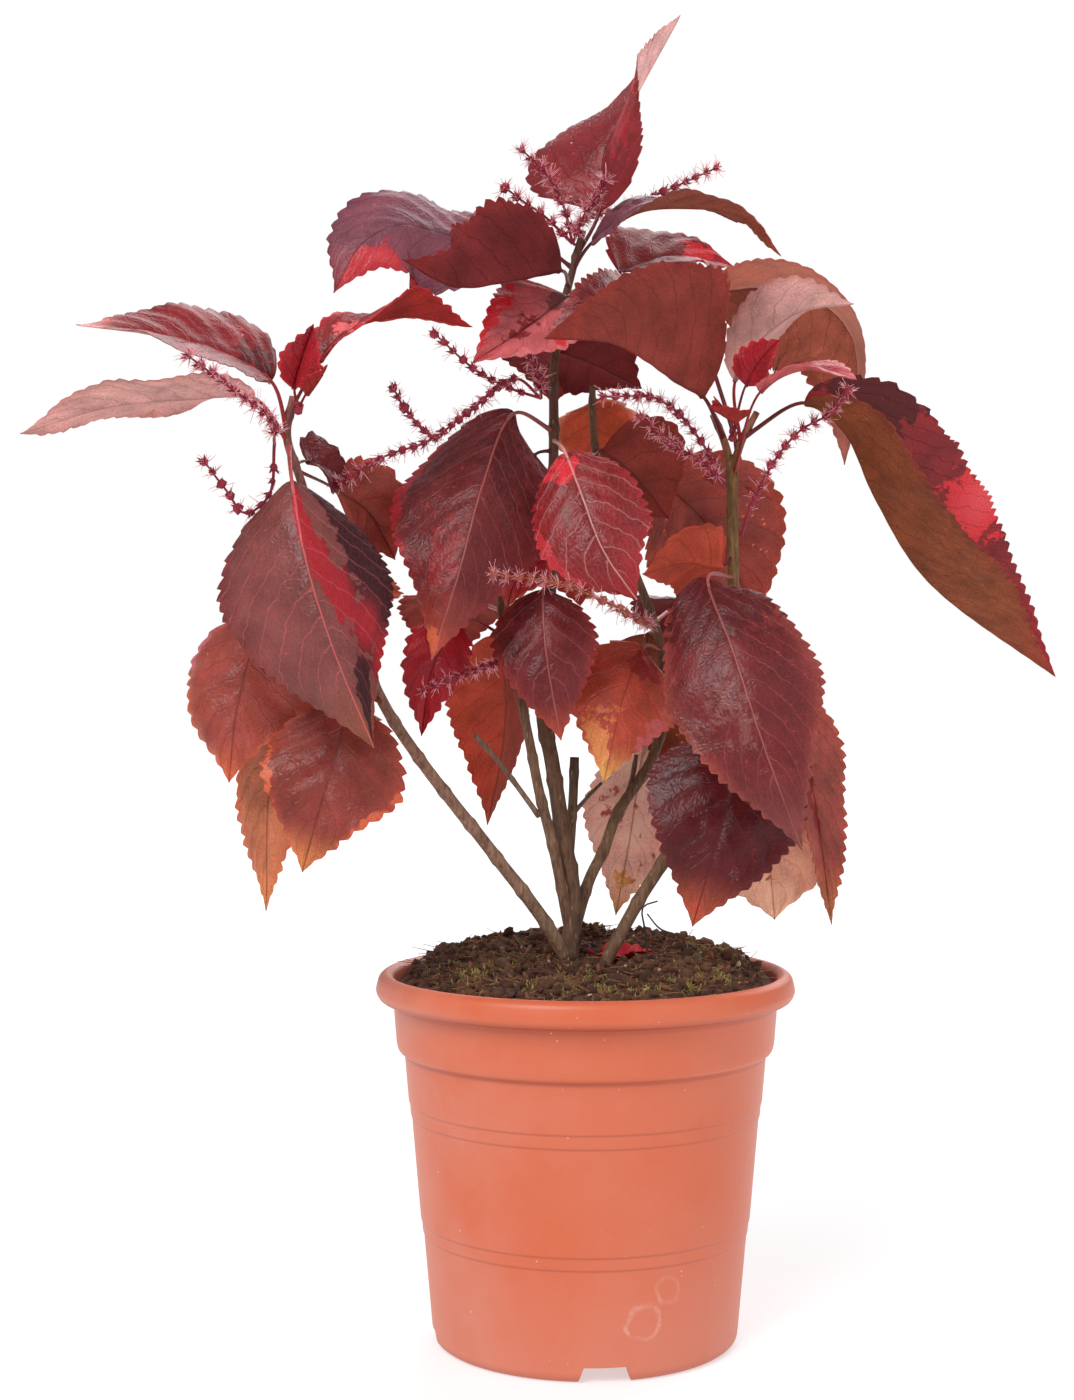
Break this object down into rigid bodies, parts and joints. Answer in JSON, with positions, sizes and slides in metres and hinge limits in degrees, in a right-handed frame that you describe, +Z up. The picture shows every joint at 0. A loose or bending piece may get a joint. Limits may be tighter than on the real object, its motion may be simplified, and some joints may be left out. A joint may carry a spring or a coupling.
{
  "type": "potted copperleaf",
  "caption": "Copperleaf shrub with red and bronze saw-edged leaves and thin pink catkins on woody stems, rooted in soil in a round tapered plastic nursery pot.",
  "frame": {"origin": "on the axis of the pot, at the surface that the pot stands on", "axes": "+Z up along the axis of the pot; -Y towards the viewer of the plant's front; +X to the viewer's right"},
  "size_m": [0.477, 0.2872, 0.643],
  "materials": {
    "pot_plastic": "terracotta-coloured moulded plastic, satin, lightly scuffed",
    "soil": "dark peat with reddish fibres and tufts of moss",
    "bark": "grey-brown bark with pale lenticels, young wood olive",
    "leaf_crimson": "satin, veined",
    "leaf_maroon": "satin, veined",
    "leaf_mauve": "satin, veined",
    "leaf_copper": "satin, veined",
    "leaf_brown": "matt underside, veined",
    "leaf_salmon": "matt, veined",
    "catkin": "soft pink styles over dark crimson bracts"
  },
  "bodies": {
    "root": {"pot": "pot_plastic", "soil": "soil", "trunk_and_limbs": "bark", "right_stem": "bark", "fallen_leaf": "leaf_crimson", "right_young_leaves": "leaf_crimson", "left_young_leaves": "leaf_crimson", "top_leaf": "leaf_crimson", "upper_left_leaf": "leaf_mauve", "upper_left_curled_leaf": "leaf_brown", "upper_right_leaf": "leaf_mauve", "red_splotched_leaf": "leaf_crimson", "round_brown_leaf": "leaf_brown", "right_back_red_leaf": "leaf_crimson", "right_arched_leaf": "leaf_brown", "right_pale_leaf": "leaf_salmon", "right_pink_leaf": "leaf_salmon", "right_drooping_leaf": "leaf_maroon", "far_left_upper_leaf": "leaf_maroon", "far_left_lower_leaf": "leaf_salmon", "left_slim_leaf": "leaf_crimson", "left_front_leaf": "leaf_mauve", "left_small_dark_leaf": "leaf_maroon", "left_low_orange_leaf": "leaf_copper", "left_low_tip_leaf": "leaf_copper", "left_low_maroon_leaf": "leaf_maroon", "left_back_red_leaf": "leaf_copper", "centre_left_leaf": "leaf_maroon", "centre_grey_leaf": "leaf_mauve", "centre_slim_red_leaf": "leaf_crimson", "centre_serrated_leaf": "leaf_copper", "centre_red_leaf": "leaf_crimson", "centre_maroon_leaf": "leaf_maroon", "centre_curled_leaf": "leaf_copper", "centre_orange_leaf": "leaf_copper", "centre_taupe_leaf": "leaf_brown", "right_centre_leaf": "leaf_copper", "right_mid_brown_leaf": "leaf_copper", "centre_back_olive_leaf": "leaf_brown", "centre_back_orange_leaf": "leaf_copper", "centre_back_grey_leaf": "leaf_mauve", "right_front_leaf": "leaf_mauve", "right_low_maroon_leaf": "leaf_maroon", "right_low_orange_leaf": "leaf_copper", "right_low_edge_leaf": "leaf_copper", "centre_low_salmon_leaf": "leaf_salmon", "back_top_leaf": "leaf_maroon", "back_right_leaf": "leaf_maroon", "back_left_leaf": "leaf_copper", "back_lower_leaf": "leaf_maroon", "back_centre_leaf": "leaf_mauve", "back_mid_left_leaf": "leaf_maroon", "top_catkins": "catkin", "centre_catkins": "catkin", "left_catkins": "catkin", "right_catkins": "catkin", "right_spike_catkin": "catkin", "middle_catkin": "catkin", "low_catkin": "catkin"}
  },
  "joints": []
}
